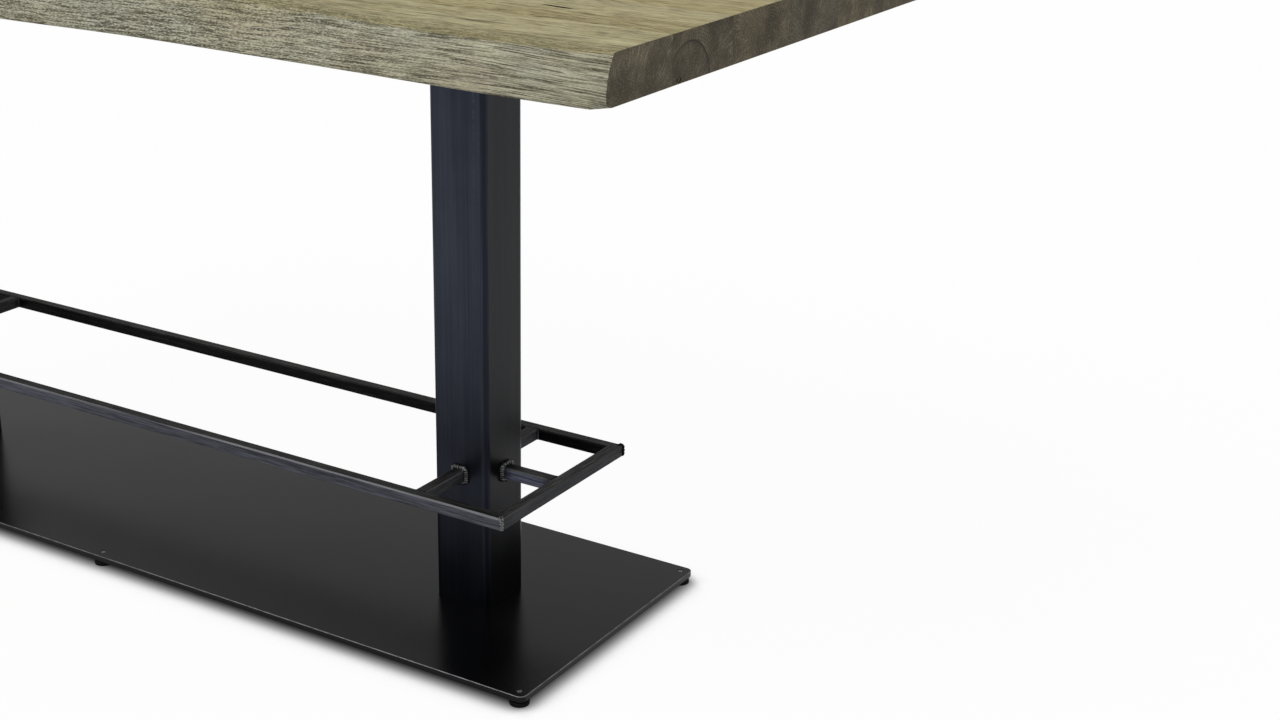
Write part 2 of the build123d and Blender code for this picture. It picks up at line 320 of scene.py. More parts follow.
class Oak(Finish):
    """Brushed and oiled oak of one board, round its own heart line."""

    def __init__(self, name, heart, turn, shift):
        super().__init__(name, roughness=0.62, gloss=0.16)
        self.heart, self.turn = heart, turn
        self.moved = (shift * 3.1, shift * 7.7, shift * 5.3)
        growth = self.new("TexWave", {
            "Vector": self.centred(heart, (22, 1, 1), turn), "Scale": 80, "Distortion": 9,
            "Detail": 3, "Detail Scale": 0.2})
        growth.wave_type, growth.rings_direction, growth.wave_profile = "RINGS", "X", "SAW"
        self.ring = growth.outputs["Fac"]
        self.patches = self.grain((1.1, 7, 7))
        self.broad = self.grain((2.4, 46, 46), 3, distortion=0.4)
        self.fine = self.grain((9, 250, 250), 3, 0.6)
        self.dash = self.grain((30, 215, 215), 3, 0.75)
        holes = self.spread(self.grain((30, 320, 320), 2, 0.65), 0.55, 0.61)
        self.pore = self.times(holes, self.spread(self.broad, 0.62, 0.35, 0.3, 1.0))

    def grain(self, scale, detail=2.0, rough=0.5, distortion=0.0, vector=None):
        return self.noise(self.mapped(scale, self.moved, vector), detail, rough, distortion)

    def flat_face(self, figure, streaks):
        """The planed faces: long figure, thin dark threads, pores and single dark streaks."""
        level = self.stacked(self.broad, 0.6, self.times(self.patches, 0.45))
        for pattern, share in ((self.fine, 0.65), (self.dash, 1.2), (self.ring, figure)):
            level = self.stacked(pattern, share, level)
        face = self.ramp(
            self.spread(level, 0.99 + figure / 2, 1.8 + figure / 2),
            (0.0, (0.128, 0.098, 0.041)), (0.28, (0.257, 0.217, 0.102)), (0.52, (0.37, 0.326, 0.174)),
            (0.75, (0.45, 0.404, 0.232)), (1.0, (0.528, 0.478, 0.288)))
        thread = self.spread(self.off(self.grain((7, 190, 190), 1.0), 0.5), 0.0, 0.045, 1.0, 0.0)
        thread = self.times(thread, self.spread(self.patches, 0.35, 0.6, 0.5, 0.1))
        face = self.mix(thread, face, (0.14, 0.112, 0.052))
        face = self.mix(self.times(self.pore, 0.85), face, (0.09, 0.07, 0.032))
        for start, end, width, strength in streaks:
            middle = ((start[0] + end[0]) / 2, (start[1] + end[1]) / 2, top_high)
            size = (math.dist(start, end) / 2, width, 0.02)
            slant = math.atan2(end[1] - start[1], end[0] - start[0])
            spot = self.spread(self.length(self.centred(middle, size, (0, 0, slant))), 1.0, 0.45, 0, strength)
            face = self.mix(self.times(spot, self.spread(self.fine, 0.3, 0.5, 0.3, 1)), face, (0.085, 0.062, 0.028))
        return face

    def sawn_end(self, rings, tone, moon):
        """The sawn ends: darker, with rings, rays and open pores, and on one board a round dark figure."""
        _, across, up = self.apart(self.centred(self.heart, turn=self.turn))
        angle = self.math("ARCTAN2", up, across)
        out = self.length(self.joined(0.0, across, up))
        rays = self.noise(self.joined(self.times(angle, 46), self.times(out, 42)), 3, 0.6)
        mottle = self.grain((1, 24, 24), 3)
        level = self.stacked(self.ring, 0.4 * rings, self.stacked(mottle, 0.9, 0.2 - 0.2 * rings))
        end = self.ramp(
            level, (0.34, (0.042, 0.0345, 0.02)), (0.62, (0.079, 0.065, 0.0405)), (0.9, (0.142, 0.12, 0.079)))
        fleck = self.times(self.spread(rays, 0.52, 0.64), self.spread(mottle, 0.42, 0.6), 0.8)
        late = self.times(
            self.spread(self.ring, 0.3, 0.0), self.spread(mottle, 0.4, 0.6, 0.2 * rings, 0.6 * rings))
        end = self.layered(
            end, (fleck, (0.26, 0.23, 0.165)), (late, (0.03, 0.024, 0.016)),
            (self.spread(self.grain((1, 620, 620)), 0.54, 0.66, 0, 0.7), (0.024, 0.019, 0.012)),
            (self.spread(self.grain((1, 300, 300)), 0.56, 0.7, 0, 0.4), (0.19, 0.165, 0.115)))
        if moon:
            _, out, high = self.apart(self.centred((0, moon[0], moon[1]), (1, moon[2], moon[2])))
            rim = self.stacked(mottle, 0.1, self.times(self.length(self.joined(0.0, out, high)), 0.9))
            shade = self.ramp(
                rim, (0.0, 0.25), (0.86, 0.3), (0.935, 0.5), (0.95, 0.95), (0.985, 0.95), (1.01, 0.0))
            end = self.mix(self.times(shade, self.spread(out, -1.0, 0.5, 0.55, 1.0)), end, (0.03, 0.0225, 0.016))
        return self.mix(1.0, end, (tone, tone, tone), "MULTIPLY")

    def natural_edge(self, face):
        """The natural edge: greyer, with dense dark lines along it and a ragged border on the upper face."""
        x, y, z = self.apart(self.place)
        upward = self.apart(self.facing)[2]
        held = self.spread(upward, 0.92, 0.62, 0.45, 1.0)
        edge = self.attribute("edge")
        sway = self.times(self.grain((4, 4, 0), 1), 0.02)
        run = self.joined(x, 0.0, self.stacked(y, 0.35, self.math("ADD", z, sway)))
        cloud = self.grain((8, 3, 16), 3)
        lines = self.grain((19, 1, 860), 1, vector=run)
        hairs = self.grain((240, 1, 900), vector=run)
        brushed = self.times(self.grain((22, 1, 720), 1, 0.6, vector=run), 0.85)
        bark = self.ramp(
            self.stacked(self.grain((9, 1, 60), 1, vector=run), 0.3, brushed),
            (0.38, (0.15, 0.14, 0.092)), (0.53, (0.28, 0.265, 0.183)), (0.64, (0.36, 0.345, 0.245)),
            (0.78, (0.44, 0.425, 0.31)))
        patchy = self.spread(self.grain((24, 1, 40), 1, vector=run), 0.34, 0.54, 0.6, 1.0)
        splits = self.spread(self.grain((34, 1, 540), 2, 0.6, vector=run), 0.55, 0.59)
        rougher = self.spread(x, 1.0, 0.62, 0.4, 1.0)
        layers = (
            (self.spread(x, 0.8, 0.3, 0, 0.3), (0.2, 0.2, 0.16)),
            (self.spread(cloud, 0.5, 0.64, 0, 0.45), (0.265, 0.29, 0.235)),
            (self.spread(cloud, 0.46, 0.32, 0, 0.4), (0.31, 0.265, 0.22)),
            (self.times(self.spread(lines, 0.525, 0.575), patchy, held, 0.94), (0.05, 0.044, 0.022)),
            (self.times(splits, self.spread(x, 1.05, 0.5, 0.1, 0.85), held), (0.026, 0.023, 0.011)),
            (self.times(self.spread(hairs, 0.5, 0.66, 0, 0.58), rougher), (0.095, 0.085, 0.052)),
            (self.times(self.spread(hairs, 0.5, 0.35, 0, 0.45), rougher), (0.62, 0.595, 0.475)),
            # Painted shade in the pressed grooves of the edge.
            (self.spread(self.attribute("groove"), 0.35, 1.0, 0, 0.2), (0.075, 0.066, 0.042)),
        )
        bark = self.layered(bark, *layers)
        bark = self.mix(self.spread(upward, 0.58, 0.88), bark, (1.0, 0.91, 0.66), "MULTIPLY")
        ragged = self.stacked(self.math("SUBTRACT", lines, 0.5), 1.0, edge)
        ragged = self.stacked(self.math("SUBTRACT", cloud, 0.5), 1.1, ragged)
        colour = self.mix(self.spread(ragged, 0.2, 0.85), face, bark)
        border = self.ramp(edge, (0.0, 0.0), (0.3, 0.5), (0.65, 0.75), (0.95, 0.4), (1.0, 0.0))
        ticks = self.spread(self.grain((85, 400, 400), 2, 0.6), 0.55, 0.6)
        colour = self.mix(self.times(ticks, border), colour, (0.05, 0.041, 0.02))
        return self.mix(self.spread(self.attribute("chip"), 0.25, 0.95, 0, 0.5), colour, (0.09, 0.075, 0.04))


def oak_finish(name, heart, turn, shift, tone=(1, 1, 1), rings=0.3, end_tone=1.0, figure=0.06,
               moon=None, streaks=(), shaded_hollows=()):
    oak = Oak(name, heart, turn, shift)
    colour = oak.natural_edge(oak.flat_face(figure, streaks))
    endways = oak.spread(oak.math("ABSOLUTE", oak.apart(oak.facing)[0]), 0.86, 0.97)
    colour = oak.mix(endways, colour, oak.sawn_end(rings, end_tone, moon))
    colour = oak.mix(1.0, colour, tone, "MULTIPLY")
    # Painted shade inside the crack and the nail hole.
    for centre, size, slant in shaded_hollows:
        inside = oak.length(oak.centred(centre, size, (0, 0, slant)))
        colour = oak.mix(oak.spread(inside, 1.35, 1.05, 0, 0.96), colour, (0.012, 0.009, 0.005))
    relief = oak.stacked(oak.pore, -0.7, oak.times(oak.fine, 0.6))
    relief = oak.stacked(oak.dash, 0.3, relief)
    return oak.to_shader(colour, oak.spread(oak.fine, 0.3, 0.7, 0.72, 0.56), oak.bump(relief, 0.0007, 0.5))


class Steel(Finish):
    """Blackened steel of one bar: its length axis, the middle of its section, half its side and its corner radius."""

    def __init__(self, name, along, centre, half, arris, metallic, gloss):
        super().__init__(name, metallic=metallic, gloss=gloss)
        self.along = along
        self.streak = self.streaks(0.35, 0.004, 4)
        self.scratch = self.streaks(0.06, 0.0011, 2)
        self.cloud = self.cloudy(15, 4)
        parts = self.apart(self.place)
        inner = self.math("MINIMUM", *(self.off(parts[axis], centre[axis]) for axis in range(3) if axis != along))
        self.corner = self.spread(inner, half - arris * 1.05, half - arris * 0.7)
        self.rim = self.times(self.corner, self.spread(inner, half - arris * 0.45, half - arris * 0.8))

    def streaks(self, length, width, detail):
        scale = [1 / width] * 3
        scale[self.along] = 1 / length
        return self.noise(self.mapped(scale), detail, 0.62)

    def rubbed(self, colour, roughness):
        uneven = self.stacked(self.streak, 0.25, self.times(self.cloud, 0.2))
        relief = self.stacked(self.streak, 0.5, self.times(self.scratch, -0.3))
        rough = self.spread(uneven, 0.15, 0.32, roughness - 0.08, roughness + 0.1)
        return self.to_shader(colour, rough, self.bump(relief, 0.0003, 0.3))


def column_finish(name, x):
    """Bluish on the front and rear; the sides get a darker neutral copy, which is painted shade. A dark band of
    painted shade on the rounded corners, a painted highlight along their rims broken by wear streaks, and painted
    shade towards the floor.
    """
    steel = Steel(name, 2, (x, 0, 0), column_half, column_round, metallic=1.0, gloss=0.5)
    level = steel.stacked(steel.streak, 0.6, steel.times(steel.streaks(0.6, 0.03, 2), 0.5))
    level = steel.spread(steel.stacked(steel.cloud, 0.4, level), 0.55, 0.98)
    blue = steel.mix(level, (0.022, 0.026, 0.038), (0.044, 0.05, 0.066))
    # Painted shade: the sides get this darker, neutral copy of the colour.
    plain = steel.mix(level, (0.013, 0.0137, 0.0152), (0.0245, 0.0253, 0.027))
    sideways = steel.math("ABSOLUTE", steel.apart(steel.facing)[0])
    # Painted highlight along the corner rims, broken by wear streaks.
    rim_wear_and_highlight = steel.times(steel.rim, steel.spread(steel.streak, 0.42, 0.62, 0.0, 0.45))
    across, depth, height = steel.apart(steel.place)
    seam = steel.times(
        steel.spread(steel.off(across, x + 0.031), 0.0016, 0.0008),
        steel.spread(steel.noise(steel.mapped((300, 300, 160))), 0.48, 0.56),
        steel.spread(depth, -0.045, -0.049),
        steel.spread(height, 0.6, 0.95, 0.0, 0.5))
    # Painted shade: darker towards the floor, less on the corners.
    low = steel.times(steel.spread(height, 0.56, 0.05, 0, 0.76), steel.spread(steel.corner, 0, 1, 1, 0.75))
    # In this mix the corner mask lays a dark band of painted shade on the rounded corners.
    colour = steel.layered(
        blue, (steel.spread(sideways, 0.6, 0.8), plain),
        (steel.spread(steel.scratch, 0.62, 0.76, 0, 0.25), (0.09, 0.095, 0.11)),
        (steel.corner, (0.019, 0.021, 0.031)), (rim_wear_and_highlight, (0.085, 0.092, 0.115)),
        (seam, (0.1, 0.108, 0.13)), (low, (0.0035, 0.0035, 0.005)))
    return steel.rubbed(colour, 0.42)


def bar_finish(name, along, centre, outward, lit_side_tone, arris_highlight_tone, lid=1.0, shadow_span=None):
    """Tube of the footrest: a painted highlight on the outer arris, broken by wear streaks; a grey outer side, which
    is painted light; painted shade near black on the inner side; near black elsewhere.
    """
    steel = Steel(name, along, centre, rail_half, rail_round, metallic=0.0, gloss=0.07)
    lines = steel.stacked(steel.streaks(0.05, 0.0012, 3), 0.8, steel.times(steel.streak, 0.4))
    shut = steel.ramp(lines, (0.48, 0.0012), (0.6, 0.007 * lid), (0.74, 0.042 * lid))
    # Painted light: the outer side gets a lit grey copy of the streaks, in place of the bright floor it reflects.
    lit_side = steel.mix(steel.spread(lines, 0.5, 0.7), tuple(0.28 * c for c in lit_side_tone), lit_side_tone)
    parts = steel.apart(steel.facing)
    axis = max(range(3), key=lambda i: abs(outward[i]))
    turned = parts[axis] if sum(outward) != 0 else steel.math("ABSOLUTE", parts[axis])
    turned = steel.times(turned, -1.0 if sum(outward) < 0 else 1.0)
    place = steel.apart(steel.place)
    # Painted highlight on the outer arris, strongest where it faces out and up, broken by wear streaks.
    arris_highlight = steel.times(
        steel.corner,
        steel.spread(steel.streak, 0.36, 0.58, 0.1, 1.0),
        steel.spread(turned, 0.1, 0.45, 0.1, 1.0),
        steel.spread(parts[2], -0.1, 0.4, 0.1, 1.0),
        steel.spread(place[0], -0.5, 0.5, 0.25, 1.0))
    # In this mix the inner side goes near black: painted shade.
    colour = steel.layered(
        shut, (steel.spread(turned, 0.3, 0.85), lit_side),
        (steel.spread(turned, -0.3, -0.85, 0, 0.85), (0.001, 0.001, 0.0013)),
        (steel.spread(steel.scratch, 0.58, 0.72, 0, 0.3), (0.07, 0.07, 0.075)), (arris_highlight, arris_highlight_tone))
    # Painted shadow: near black towards both ends of the stub, by the column and by the rail.
    if shadow_span:
        middle, half = shadow_span
        shaded = steel.spread(steel.off(place[along], middle), half * 0.6, half, 0, 0.9)
        colour = steel.mix(shaded, colour, (0.002, 0.002, 0.0024))
    return steel.rubbed(colour, 0.48)


def coat_finish(name, half=None, corner=None, level=None):
    """Black coat on a plate: fine orange peel, faint clouds and, where its outline is given, a painted highlight
    along the upper arris and painted shade on the sides, which turn metallic and near black.
    """
    coat = Finish(name, gloss=0.145)
    metal = None
    cloud = coat.cloudy(5, 4)
    peel = coat.cloudy(900)
    colour = coat.mix(coat.spread(cloud, 0.35, 0.65), (0.0005, 0.0005, 0.0007), (0.0016, 0.0016, 0.0019))
    colour = coat.mix(coat.spread(coat.cloudy(160, 3), 0.68, 0.78, 0, 0.4), colour, (0.01, 0.01, 0.011))
    if half:
        x, y, z = coat.apart(coat.place)
        past = [
            coat.highest(coat.math("SUBTRACT", coat.math("ABSOLUTE", value), side - corner), 0.0)
            for value, side in ((x, half[0]), (y, half[1]))
        ]
        # Painted highlight: a light line along the rounded upper arris, broken by clouds.
        line = coat.times(
            coat.spread(coat.length(coat.joined(*past)), corner - 0.0013, corner - 0.0007),
            coat.spread(z, level - 0.0012, level - 0.0006),
            coat.spread(coat.cloudy(60, 3), 0.3, 0.6, 0.45, 1.0))
        # Painted shade: the sides turn metallic and near black, so they reflect little light.
        metal = coat.spread(coat.math("ABSOLUTE", coat.apart(coat.facing)[2]), 0.8, 0.5)
        colour = coat.mix(metal, colour, (0.014, 0.014, 0.0145))
        colour = coat.mix(line, colour, (0.17, 0.17, 0.178))
    return coat.to_shader(colour, coat.spread(cloud, 0.3, 0.7, 0.22, 0.27), coat.bump(peel, 0.0001, 0.25), metal)


def bead_finish(name, light, painted_rear_shade=False):
    """Weld metal under the blackening: bright specks, brightest on the pool crests, which is a painted highlight, and
    dark between the pools, which is painted shade; where asked, painted shade towards the rear.
    """
    bead = Finish(name, metallic=1.0)
    grit = bead.cloudy(480, 4, 0.65)
    # Painted highlight on the pool crests, from the pools mark that bead() lays, and painted shade between them.
    level = bead.stacked(bead.attribute("pools"), 0.16, bead.times(grit, 0.84))
    colour = bead.ramp(level, (0.4, 0.06 * light), (0.54, 0.2 * light), (0.66, 0.85 * light))
    colour = bead.mix(bead.spread(bead.cloudy(130), 0.5, 0.66, 0, 0.7), colour, (0.02, 0.021, 0.025))
    if painted_rear_shade:
        # Painted shade: darker towards the rear.
        rear = bead.spread(bead.apart(bead.place)[1], -0.05, 0.05, 0, 0.9)
        colour = bead.mix(rear, colour, (0.006, 0.006, 0.007))
    return bead.to_shader(colour, bead.spread(grit, 0.35, 0.65, 0.5, 0.34), bead.bump(grit, 0.0009, 0.7))


def zinc_finish():
    zinc = Finish("zinc_steel", metallic=1.0)
    spangle = zinc.cloudy(260, 3)
    colour = zinc.mix(zinc.spread(spangle, 0.35, 0.65), (0.32, 0.32, 0.325), (0.5, 0.5, 0.49))
    colour = zinc.mix(zinc.spread(zinc.cloudy(40, 3), 0.5, 0.7, 0, 0.5), colour, (0.2, 0.2, 0.195))
    return zinc.to_shader(colour, zinc.spread(spangle, 0.3, 0.7, 0.28, 0.42), zinc.bump(spangle, 0.0001, 0.3))


def stud_finish():
    """Blackened thread with its end bright round the rim and paler in the middle: partly bare rubbed steel, partly a
    painted highlight.
    """
    thread = Finish("stud_black", metallic=1.0)
    grit = thread.cloudy(700, 3)
    rim = thread.times(thread.attribute("rim"), thread.spread(grit, 0.35, 0.6, 0.3, 1.0))
    colour = thread.mix(thread.spread(grit, 0.35, 0.65), (0.012, 0.012, 0.013), (0.035, 0.035, 0.037))
    # Painted highlight together with rubbed bare steel on the end of the stud.
    colour = thread.mix(rim, colour, (0.5, 0.5, 0.51))
    return thread.to_shader(colour, thread.spread(grit, 0.3, 0.7, 0.35, 0.5), thread.bump(grit, 0.0001, 0.4))


def pad_finish():
    pad = Finish("pad_black", gloss=0.06)
    grain = pad.cloudy(1400)
    colour = pad.mix(pad.spread(pad.cloudy(60, 3), 0.35, 0.65), (0.002, 0.002, 0.002), (0.006, 0.006, 0.0065))
    return pad.to_shader(colour, pad.spread(grain, 0.3, 0.7, 0.5, 0.65), pad.bump(grain, 0.0001, 0.4))


black_coat = coat_finish("black_coat")
plate_coat = coat_finish("plate_coat", plate_high.xy, plate_corner, plate_high.z)
weld_metal = bead_finish("weld_metal", 0.32)
# The corner welds' finish paints shade towards the rear.
bright_weld = bead_finish("bright_weld", 0.36, painted_rear_shade=True)
zinc_steel = zinc_finish()
stud_black = stud_finish()
pad_black = pad_finish()


# Finishes on the part's own nodes
def dress(node, finish):
    nodes[node].data.materials.clear()
    nodes[node].data.materials.append(finish.material)


# Outer-side greys, which are painted light, and arris tones, which are painted highlights, for the bars.
outer_lit_grey, end_lit_grey, stub_lit_grey = (0.072, 0.076, 0.094), (0.05, 0.0515, 0.057), (0.105, 0.114, 0.16)
bright_arris_highlight, dull_arris_highlight = (0.26, 0.26, 0.28), (0.075, 0.075, 0.078)
rail_x, rail_y = rail_out_x - rail_half, rail_out_y - rail_half
bars = {
    "foot_rail_front": (0, (0, -rail_y, rail_level), (0, -1, 0), outer_lit_grey, bright_arris_highlight, 1.0),
    "foot_rail_rear": (0, (0, rail_y, rail_level), (0, 1, 0), outer_lit_grey, bright_arris_highlight, 1.6),
}
for side, sign in (("left", -1), ("right", 1)):
    x = sign * column_x
    middle = (x, 0, rail_level)
    bars[f"stub_front_{side}"] = bars[f"stub_rear_{side}"] = (1, middle, (1, -1, 0), end_lit_grey, dull_arris_highlight)
    bars[f"stub_end_{side}"] = (0, middle, (0, -1, 0), stub_lit_grey, dull_arris_highlight, 1.0, (sign * 0.696, 0.045))
    bars[f"foot_rail_{side}"] = (1, (sign * rail_x, 0, rail_level), (sign, 0, 0), end_lit_grey, dull_arris_highlight, 2.0)
    dress(f"column_{side}", column_finish(f"column_{side}_steel", x))
    dress(f"foot_block_{side}", black_coat)
    dress(f"head_plate_{side}", black_coat)
    dress(f"stub_welds_{side}", weld_metal)
    dress(f"rail_welds_{side}", weld_metal)
for node, bar in bars.items():
    dress(node, bar_finish(node + "_steel", *bar))
dress("base_plate", plate_coat)
dress("corner_welds", weld_metal)
dress("head_welds", weld_metal)
for node in ("base_screws", "head_bolts", "head_washers", "top_inserts"):
    dress(node, zinc_steel)
for place in feet:
    dress(f"foot_pad_{place}", pad_black)
    dress(f"foot_stud_{place}", stud_black)


# Top boards
lower_rows, face_rows, upper_rows = 9, 46, 4
edge_rows = lower_rows + face_rows + upper_rows
round_body, round_end, round_over = (0.010, 0.008), (0.016, 0.008), 0.003
corner_low, corner_high = 0.017, 0.003
end_steps = (0, 0.0003, 0.0009, 0.0018, 0.003, 0.0045, 0.0065, 0.009, 0.012, 0.0155)
columns = 896
bulge = 0.0025
brushed_away = 0.0016
strips = (0.002, 0.005, 0.009, 0.0145, 0.022, 0.033, 0.048)
strip_share = (0.93, 0.82, 0.69, 0.54, 0.37, 0.19, 0.0)
rolled_off, rolled_over = 0.0022, 0.022


def rolled(spare):
    """How far the upper arris is rolled off, less near the ends."""
    return rolled_off * min(1.0, 0.25 + spare / 0.08)


def edge_section(row, spare):
    """How far in and how high a row of the natural edge lies, at a distance from the end of the board."""
    thick = top_high - rolled(spare) - top_low
    late = max(0.0, 1 - spare / 0.03) ** 2
    wide, high = (a + (b - a) * late for a, b in zip(round_body, round_end))
    if row <= lower_rows:
        turn = math.pi / 2 * row / lower_rows
        return wide * (1 - math.sin(turn)), high * (1 - math.cos(turn))
    if row <= lower_rows + face_rows:
        share = (row - lower_rows) / face_rows
        return -bulge * 4 * share * (1 - share), high + share * (thick - round_over - high)
    turn = math.pi / 2 * (row - lower_rows - face_rows) / upper_rows
    return round_over * (1 - math.cos(turn)), thick - round_over * (1 - math.sin(turn))


def corner_ease(share, spare):
    """How far the edge turns in where it meets the end of the board, more below than above."""
    radius = corner_high + (corner_low - corner_high) * (1 - share) ** 2
    return radius - math.sqrt(radius**2 - max(0.0, radius - spare) ** 2)


def column_place(x):
    """Even columns along the board, drawn closer together at its ends."""
    k = round((x + half_top) / (2 * half_top) * columns)
    near = min(k, columns - k)
    last = len(end_steps) - 1
    if near <= last:
        return math.copysign(half_top - end_steps[near], k - columns / 2)
    return (half_top - end_steps[last]) * (2 * (k - last) / (columns - 2 * last) - 1)


def worn(board, name, group, size, depth, limits, axis):
    """Presses a cloudy pattern into part of a board and returns how deep each point went, from 0 to 1."""
    texture = bpy.data.textures.new(board.name + "_" + name, "CLOUDS")
    texture.noise_scale, texture.noise_depth, texture.use_color_ramp = 1.0, 2, True
    for mark, position, level in zip(texture.color_ramp.elements, limits, (0, 1)):
        mark.position, mark.color = position, (level, level, level, 1)
    bpy.ops.object.empty_add(location=(0, 0, 0))
    gauge = bpy.context.object
    gauge.scale = size
    bpy.context.view_layer.update()
    alone(board)
    before = [v.co.copy() for v in board.data.vertices]
    modifier = board.modifiers.new(name, "DISPLACE")
    modifier.texture = texture
    modifier.texture_coords = "OBJECT"
    modifier.texture_coords_object = gauge
    modifier.direction = axis
    modifier.mid_level = 1.0
    modifier.strength = depth
    modifier.vertex_group = group
    bpy.ops.object.modifier_apply(modifier=name)
    bpy.data.objects.remove(gauge)
    return [min(1.0, (v.co - was).length / abs(depth)) for v, was in zip(board.data.vertices, before)]


def lay_out_edge(board, low, high, side, dips, leans):
    """Moves the rows of a divided block onto the two drawn lines and marks how far each point is natural edge."""
    outer, inner = (high.y, low.y) if side > 0 else (low.y, high.y)
    mesh = bmesh.from_edit_mesh(board.data)
    natural = mesh.verts.layers.float.new("edge")
    for v in mesh.verts:
        v.co.x = column_place(v.co.x)
        spare = half_top - abs(v.co.x)
        lower = edge_line - brushed_away - drawn(dips, v.co.x)
        lean = drawn(leans, v.co.x)
        if abs(v.co.y - outer) < touch:
            row = round((v.co.z - low.z) / (high.z - low.z) * edge_rows)
            inward, height = edge_section(row, spare)
            share = height / (high.z - low.z)
            v.co.y = side * (lower - lean * share - inward - corner_ease(share, spare))
            v.co.z = low.z + height
            v[natural] = 1.0
        elif v.co.z > high.z - touch and abs(v.co.y - inner) > touch:
            strip = round((v.co.y - outer) / (inner - outer) * (len(strips) + 1)) - 1
            v.co.y = side * (lower - lean - round_over - strips[strip] - corner_ease(1.0, spare))
            v.co.z -= rolled(spare) * max(0.0, 1 - strips[strip] / rolled_over) ** 2
            v[natural] = strip_share[strip]
    bmesh.update_edit_mesh(board.data)


def brush_edge(board, side):
    """Lumps and brushed grain on the natural edge, and chips out of its upper arris."""
    kept = [item.value for item in board.data.attributes["edge"].data]
    flank = board.vertex_groups.new(name="flank")
    arris = board.vertex_groups.new(name="arris")
    for v in board.data.vertices:
        if kept[v.index] > 0.9 and top_low + 0.0005 < v.co.z < top_high - 0.0005:
            flank.add([v.index], 1.0, "REPLACE")
        if kept[v.index] > 0.1 and v.co.z > top_high - 0.006:
            arris.add([v.index], kept[v.index], "REPLACE")
    worn(board, "lumps", "flank", (0.16, 0.06, 0.05), side * 0.0016, (0.25, 0.75), "Y")
    deep = worn(board, "grain", "flank", (0.08, 0.02, 0.002), side * 0.0003, (0.27, 0.42), "Y")
    chips = worn(board, "chips", "arris", (0.014, 0.0036, 0.01), 0.0011, (0.34, 0.46), "Z")
    # The groove depth is kept so that the finish can paint shade into the grooves.
    for name, values in (("groove", deep), ("chip", chips)):
        board.data.attributes.new(name, "FLOAT", "POINT").data.foreach_set("value", values)


def natural_board(node, finish, side, dips, leans):
    """A board with a natural outer edge: its rows follow the two drawn lines, and the grain is brushed out."""
    low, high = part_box(node)
    outer = high.y if side > 0 else low.y
    at_outer = every(lambda p: abs(p.y - outer) < touch)
    at_top = every(lambda p: p.z > high.z - touch)
    at_bottom = every(lambda p: p.z < low.z + touch)
    board = block(node + "_oak", low, high)
    pick(board, "EDGE", lambda e: abs(reach(e).x) > 1)
    bpy.ops.mesh.subdivide(number_cuts=columns - 1)
    pick(board, "EDGE", lambda e: at_outer(e) and abs(reach(e).z) > 0.01)
    bpy.ops.mesh.subdivide(number_cuts=edge_rows - 1)
    pick(board, "EDGE", lambda e: at_top(e) and abs(reach(e).y) > 0.01)
    bpy.ops.mesh.subdivide(number_cuts=len(strips))
    lay_out_edge(board, low, high, side, dips, leans)
    pick(board, "FACE", at_end)
    bpy.ops.mesh.dissolve_faces()
    eased(board, 0.0006, lambda e: at_end(e) and (at_top(e) or at_bottom(e)), clamp_overlap=False)
    alone(board)
    brush_edge(board, side)
    done(board, finish, node)
    alone(board)
    bpy.ops.object.mode_set(mode="EDIT")
    pick(board, "FACE", at_end)
    bpy.ops.mesh.faces_shade_flat()
    alone(board)
    board.select_set(False)


def cut_out(board, cutter):
    """Takes a shape out of a board."""
    alone(board)
    modifier = board.modifiers.new("cut", "BOOLEAN")
    modifier.operation = "DIFFERENCE"
    modifier.solver = "EXACT"
    modifier.object = cutter
    bpy.ops.object.modifier_apply(modifier="cut")
    bpy.data.objects.remove(cutter)


def pocket(x, y):
    """The blind hole that holds a threaded insert."""
    cutter = rod("pocket", 32, 0.00605, 0.03, (x, y, top_low + 0.011))
    eased(cutter, 0.001, every(lambda p: p.z > top_low + 0.02), 1)
    return alone(cutter)


def open_crack(centre, size, slant):
    """A jagged split along the grain."""
    unselect()
    bpy.ops.mesh.primitive_uv_sphere_add(segments=40, ring_count=12, radius=1)
    split = begin("crack")
    chance = random.Random(4)
    mesh = bmesh.from_edit_mesh(split.data)
    turn = Matrix.Translation(centre) @ Matrix.Rotation(slant, 4, "Z") @ Matrix.Diagonal((*size, 1))
    for v in mesh.verts:
        v.co.y *= chance.uniform(0.75, 1.2)
        v.co = turn @ v.co
    bmesh.update_edit_mesh(split.data)
    return alone(split)


def drilled(centre, radius, deep):
    """A small, wider than high hole in the right-hand end."""
    hole = rod("hole", 32, radius, 2 * deep, centre, rotation=(0, math.pi / 2, 0), scale=(1, 1.6, 1))
    eased(hole, radius * 0.3, every(lambda p: p.x < centre[0] - deep + 1e-4))
    return alone(hole)


def plain_board(node, finish, insert_row=None, cutters=()):
    low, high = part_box(node)
    board = block(node + "_oak", low, high)
    eased(board, 0.0007, lambda e: at_end(e) and abs(reach(e).z) < touch)
    alone(board)
    cuts = list(cutters)
    if insert_row is not None:
        cuts += [pocket(x + step, insert_row) for x in (-column_x, column_x) for step in (-bolt_step, bolt_step)]
    for cutter in cuts:
        cut_out(board, cutter)
    done(board, finish, node)


